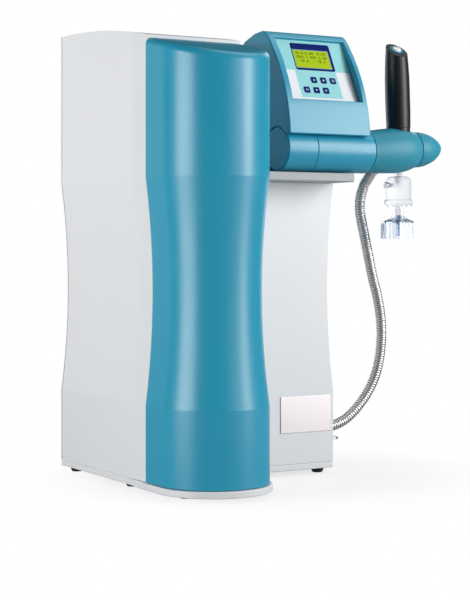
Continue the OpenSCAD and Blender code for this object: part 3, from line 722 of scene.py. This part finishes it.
def around(azimuth, distance, height):
    """Place at an azimuth in degrees from the front, positive to the right."""
    angle = math.radians(azimuth)
    return (distance * math.sin(angle), -distance * math.cos(angle), height)


class WATER_OT_stage(bpy.types.Operator):
    """Make the camera, the soft studio light and the pale floor"""

    bl_idname = "water_system.stage"
    bl_label = "Stage"

    def execute(self, context):
        scene = context.scene
        settings = scene.water_stage
        camera = bpy.data.cameras.new("Camera")
        obj = bpy.data.objects.new("Camera", camera)
        scene.collection.objects.link(obj)
        # The view is level, and the picture's horizon lies above its middle
        obj.location = at(*CAMERA_PLACE)
        obj.rotation_euler = (math.pi / 2, 0, -settings.turn)
        camera.sensor_fit = "VERTICAL"
        camera.sensor_height = 24
        camera.lens = 24 * settings.focal
        camera.shift_y = (HORIZON - PICTURE_H / 2) / PICTURE_H
        camera.clip_end = 30
        scene.camera = obj
        scene.view_settings.view_transform = "Standard"
        make_world()
        make_floor()
        for name, (azimuth, distance, height, size, power) in LAMPS.items():
            area_lamp(name, around(azimuth, distance, height), LAMP_TARGET, size, power)
        return {"FINISHED"}


# ---------------------------------------------------------------- hose

HOSE_RADIUS = 7.5
# Each rib is a round-backed strip: its base below the hose's radius, its rise from there, and
# the share of the pitch that it takes up beside its groove
RIB_BASE = 0.75
RIB_RISE = 0.7
RIB_SHARE = 0.8
# The same route as the part's source, in millimetres
HOSE_POINTS = [
    (374, -16, 421), (367, -6, 403), (365, 0, 387), (366, 4, 372), (370, 7, 356),
    (381, 12, 325), (398, 20, 277), (412, 26, 243), (421, 31, 215), (427, 37, 186),
    (429, 44, 155), (425, 50, 126), (415, 56, 101), (400, 61, 80), (383, 64, 65),
    (365, 66, 57), (346, 66, 54), (328, 66, 54),
]


def catmull(a, b, c, d, t):
    return 0.5 * (
        2 * b + (c - a) * t + (2 * a - 5 * b + 4 * c - d) * t * t
        + (3 * b - a - 3 * c + d) * t * t * t
    )


def hose_route():
    """Centreline of the hose, with a point about every half millimetre."""
    points = [at(*p) for p in HOSE_POINTS]
    bent = points[1:-1]
    line = [points[0].lerp(points[1], i / 20) for i in range(20)]
    for i in range(len(bent) - 1):
        a, b = bent[max(i - 1, 0)], bent[i]
        c, d = bent[i + 1], bent[min(i + 2, len(bent) - 1)]
        count = max(2, round((c - b).length / (0.55 * MM)))
        line += [catmull(a, b, c, d, j / count) for j in range(count)]
    line += [points[-2].lerp(points[-1], i / 40) for i in range(41)]
    return line


def sweep(line, radius_at, sides=20):
    """Bmesh of a tube along a line, whose radius is a function of the way along."""
    bm = bmesh.new()
    depth = bm.verts.layers.float.new("depth")
    side = Vector((0, 1, 0))
    rings = []
    travelled = 0.0
    for i, centre in enumerate(line):
        ahead = (line[min(i + 1, len(line) - 1)] - line[max(i - 1, 0)]).normalized()
        side = (side - ahead * side.dot(ahead)).normalized()
        up = ahead.cross(side)
        if i:
            travelled += (centre - line[i - 1]).length
        radius = radius_at(travelled)
        ring = bmesh.ops.create_circle(bm, segments=sides, radius=radius)["verts"]
        for vert in ring:
            vert[depth] = HOSE_RADIUS * MM - radius
        turn = Matrix((side, up, ahead)).transposed().to_4x4()
        bmesh.ops.transform(bm, matrix=Matrix.Translation(centre) @ turn, verts=ring)
        edges = {e for v in ring for e in v.link_edges}
        if rings:
            bmesh.ops.bridge_loops(bm, edges=list(rings[-1]) + list(edges))
        rings.append(edges)
    bmesh.ops.recalc_face_normals(bm, faces=bm.faces[:])
    return bm, travelled


class WATER_OT_hose(bpy.types.Operator):
    """Make the ribbed metal hose from the pod to the column"""

    bl_idname = "water_system.hose"
    bl_label = "Metal hose"

    def execute(self, context):
        pitch = context.scene.water_shape.rib_pitch
        line = hose_route()

        def radius_at(way):
            share = (way / pitch) % 1.0
            crown = math.sin(math.pi * share / RIB_SHARE) ** 0.5 if share < RIB_SHARE else 0
            return (HOSE_RADIUS - RIB_BASE + RIB_RISE * crown) * MM

        bm, length = sweep(line, radius_at)
        hose = new_piece("steel_hose_ribbed", bm, "hose_steel", "root", ("steel_hose",), sharp=60)
        return {"FINISHED"}


# ---------------------------------------------------------------- housings


class WATER_OT_housings(bpy.types.Operator):
    """Finish the white tower, the column, the base and the rear"""

    bl_idname = "water_system.housings"
    bl_label = "Housings"

    def execute(self, context):
        edge = context.scene.water_shape.edge_radius
        rows = (
            ("tower_housing", edge, 5), ("column_housing", edge, 5), ("base_plate", edge, 20),
            ("head_shelf", edge, 20), ("rear_panel", 2.2 * MM, 20), ("bay_panel", 0.5 * MM, 20),
            ("feet", 0.4 * MM, 25), ("panel_screws", 0.4 * MM, 32), ("badge_plate", 0.35 * MM, 32),
            ("water_connectors", 0.4 * MM, 32), ("power_inlet", 0.4 * MM, 32),
            ("mains_rocker", 0.5 * MM, 32), ("drain_loop", 0, 60),
        )
        for node, bevel, sharp in rows:
            refined(node, bevel=bevel, sharp=sharp)
        return {"FINISHED"}


class WATER_OT_cover(bpy.types.Operator):
    """Finish the teal front cover"""

    bl_idname = "water_system.cover"
    bl_label = "Front cover"

    def execute(self, context):
        refined("front_cover", bevel=0.8 * MM, sharp=40, creases=WAIST)
        return {"FINISHED"}


class WATER_OT_inside(bpy.types.Operator):
    """Finish what stands behind the cover and inside the housings"""

    bl_idname = "water_system.inside"
    bl_label = "Inside"

    def execute(self, context):
        for node in (
            "cartridge_body", "cartridge_caps", "cartridge_cradles", "uv_chamber", "uv_clamps",
            "booster_pump", "power_supply", "control_board",
        ):
            refined(node, bevel=0.6 * MM)
        return {"FINISHED"}


# Bars of a seven-bar digit, as left, low, width and height in a cell one wide and two high
BARS = {
    "a": (0, 1.7, 1, 0.3), "b": (0.7, 1, 0.3, 1), "c": (0.7, 0, 0.3, 1), "d": (0, 0, 1, 0.3),
    "e": (0, 0, 0.3, 1), "f": (0, 1, 0.3, 1), "g": (0, 0.85, 1, 0.3), "p": (0.3, 0, 0.4, 0.4),
    "q": (0.3, 1.2, 0.4, 0.4),
}
DIGITS = {
    "0": "abcdef", "1": "bc", "2": "abged", "3": "abgcd", "4": "fgbc", "5": "afgcd",
    "6": "afgedc", "7": "abc", "8": "abcdefg", "9": "abcdfg", ".": "p", ":": "pq", "-": "g",
}
READOUT = ("18.2-0.05 12:45", "1024.7 035 3.50", "  22.6  - 10.2 ")
# Lower left corner of the readout's first sign on the panel, and the signs' spacing, size and
# height above it, in millimetres
READOUT_CORNER = (29, 76)
SIGN_PITCH = (3.4, 6.1)
SIGN_SIZE = (2.1, 1.9)
SIGN_RISE = 0.06


def add_slab(bm, outline, low, high):
    """Adds a raised flat outline, in millimetres, to a bmesh."""
    face = bm.faces.new([bm.verts.new((x * MM, y * MM, low * MM)) for x, y in outline])
    raised = bmesh.ops.extrude_face_region(bm, geom=[face])["geom"]
    top = [v for v in raised if isinstance(v, bmesh.types.BMVert)]
    bmesh.ops.translate(bm, verts=top, vec=(0, 0, (high - low) * MM))


def box_outline(x, y, width, height):
    return [(x, y), (x + width, y), (x + width, y + height), (x, y + height)]


def on_panel(bm):
    """Turns raised shapes outwards and lays them on the keypad panel."""
    bmesh.ops.recalc_face_normals(bm, faces=bm.faces[:])
    return placed(bm, PANEL_FRAME)


def readout_bmesh():
    """Rows of small digits on the display."""
    bm = bmesh.new()
    for row, text in enumerate(READOUT):
        for column, sign in enumerate(text):
            for bar in DIGITS.get(sign, ""):
                x, y, width, height = BARS[bar]
                x = READOUT_CORNER[0] + column * SIGN_PITCH[0] + x * SIGN_SIZE[0]
                y = READOUT_CORNER[1] - row * SIGN_PITCH[1] + y * SIGN_SIZE[1]
                size = (width * SIGN_SIZE[0], height * SIGN_SIZE[1])
                add_slab(bm, box_outline(x, y, *size), 0, SIGN_RISE)
    return on_panel(bm)


# Light symbols on the keys, in millimetres from each key's middle
SYMBOLS = (
    [[(-1.7, -1.1), (1.7, -1.1), (0, 1.8)]],
    [[(-1.8, 0), (0, -1.8), (1.8, 0), (0, 1.8)]],
    [box_outline(-2, y, 4, 0.6) for y in (-1.7, -0.3, 1.1)],
    [box_outline(-2, y, 4, 0.6) for y in (-1.1, 0.5)],
    [[(-1.7, 1.1), (0, -1.8), (1.7, 1.1)]],
    [[(-1.4, -1.8), (1.7, 0), (-1.4, 1.8)]],
)
# Height range of the symbols, and the middles of the keys in two rows of three
SYMBOL_RANGE = (0.55, 0.68)
KEY_PITCH = 15.4
KEY_PLACES = [(x + KEY_PITCH * i, y) for x, y in ((47.6, 35.3), (32, 19.2)) for i in range(3)]


def symbols_bmesh():
    """Raised light symbols, one on each key."""
    bm = bmesh.new()
    for (x, y), shapes in zip(KEY_PLACES, SYMBOLS):
        for shape in shapes:
            add_slab(bm, [(x + a, y + b) for a, b in shape], *SYMBOL_RANGE)
    return on_panel(bm)


class WATER_OT_head(bpy.types.Operator):
    """Finish the control head with its keypad, display and keys"""

    bl_idname = "water_system.head"
    bl_label = "Control head"

    def execute(self, context):
        refined("control_head", bevel=1.5 * MM, sharp=24)
        film = refined("keypad_panel", bevel=0.15 * MM)
        flat = PANEL_FRAME.inverted()
        layer = film.data.uv_layers.new(name="print")
        for loop in film.data.loops:
            spot = flat @ film.data.vertices[loop.vertex_index].co
            layer.data[loop.index].uv = spot.xy / (PRINT_UNIT * MM)
        refined("display_window", bevel=0.1 * MM)
        refined("keypad_keys", bevel=0.2 * MM)
        new_piece("display_digits", readout_bmesh(), "display_dark")
        new_piece("key_symbols", symbols_bmesh(), "key_mark")
        return {"FINISHED"}


class WATER_OT_arm(bpy.types.Operator):
    """Finish the arm, the pod, the knob and the hand grip"""

    bl_idname = "water_system.arm"
    bl_label = "Arm and dispenser"

    def execute(self, context):
        refined("arm_collar", bevel=0.8 * MM)
        refined("arm_tube", bevel=0.8 * MM)
        refined("pod_body", "teal_satin", bevel=0.5 * MM, sharp=24)
        refined("flow_knob", "teal_satin", bevel=0.3 * MM, sharp=28)
        refined("knob_spindle")
        refined("hand_grip", bevel=1.0 * MM, sharp=24)
        refined("thumb_ring", bevel=0.3 * MM)
        refined("thumb_button", "button_gloss", sharp=24)
        refined("hose_gland", bevel=0.4 * MM)
        refined("hose_bulkhead", bevel=0.4 * MM)
        return {"FINISHED"}


# Radii and heights of the outlet tip, in millimetres from the top of the splash bell
TIP_PROFILE = ((0, 3), (4.9, 3), (4.9, -3), (3.3, -6), (3.3, -25), (2.2, -26), (0, -26))


class WATER_OT_filter(bpy.types.Operator):
    """Finish the final filter and its splash bell"""

    bl_idname = "water_system.filter"
    bl_label = "Final filter"

    def execute(self, context):
        refined("outlet_spigot", "filter_milk", bevel=0.3 * MM)
        refined("filter_capsule", "filter_milk", bevel=0.4 * MM, sharp=24)
        refined("filter_vent", "filter_milk", bevel=0.3 * MM)
        refined("splash_bell", bevel=0.3 * MM)
        # Bluish outlet tip, seen through the bell's clear wall
        tip = turned(TIP_PROFILE, 32)
        spot = at(GRIP_X, -ARM_OUT, BELL_TOP)
        new_piece(
            "outlet_tip", moved(tip, *spot), "blue_core", body_of_node("splash_bell"),
        )
        return {"FINISHED"}


class WATER_PT_panel(bpy.types.Panel):
    """Buttons that make the water system piece by piece"""

    bl_label = "Water System"
    bl_idname = "WATER_PT_panel"
    bl_space_type = "VIEW_3D"
    bl_region_type = "UI"
    bl_category = "Water System"

    def draw(self, context):
        layout = self.layout
        for key in ("water_finish", "water_shape", "water_stage"):
            group = getattr(context.scene, key)
            for name in group.__annotations__:
                layout.prop(group, name)
        for operator in OPERATORS:
            layout.operator(operator.bl_idname)


SETTINGS = {
    "water_finish": WaterFinish,
    "water_shape": WaterShape,
    "water_stage": WaterStage,
}
OPERATORS = (
    WATER_OT_stage, WATER_OT_hose, WATER_OT_housings, WATER_OT_cover, WATER_OT_inside,
    WATER_OT_head, WATER_OT_arm, WATER_OT_filter,
)


def register():
    for cls in (*SETTINGS.values(), *OPERATORS, WATER_PT_panel):
        bpy.utils.register_class(cls)
    for key, cls in SETTINGS.items():
        setattr(bpy.types.Scene, key, bpy.props.PointerProperty(type=cls))


def unregister():
    for key in SETTINGS:
        delattr(bpy.types.Scene, key)
    for cls in reversed((*SETTINGS.values(), *OPERATORS, WATER_PT_panel)):
        bpy.utils.unregister_class(cls)


def main():
    """Makes every piece in order."""
    register()
    make_materials()
    for operator in OPERATORS:
        family, name = operator.bl_idname.split(".")
        getattr(getattr(bpy.ops, family), name)()
    bpy.context.view_layer.update()


if __name__ == "__main__":
    main()
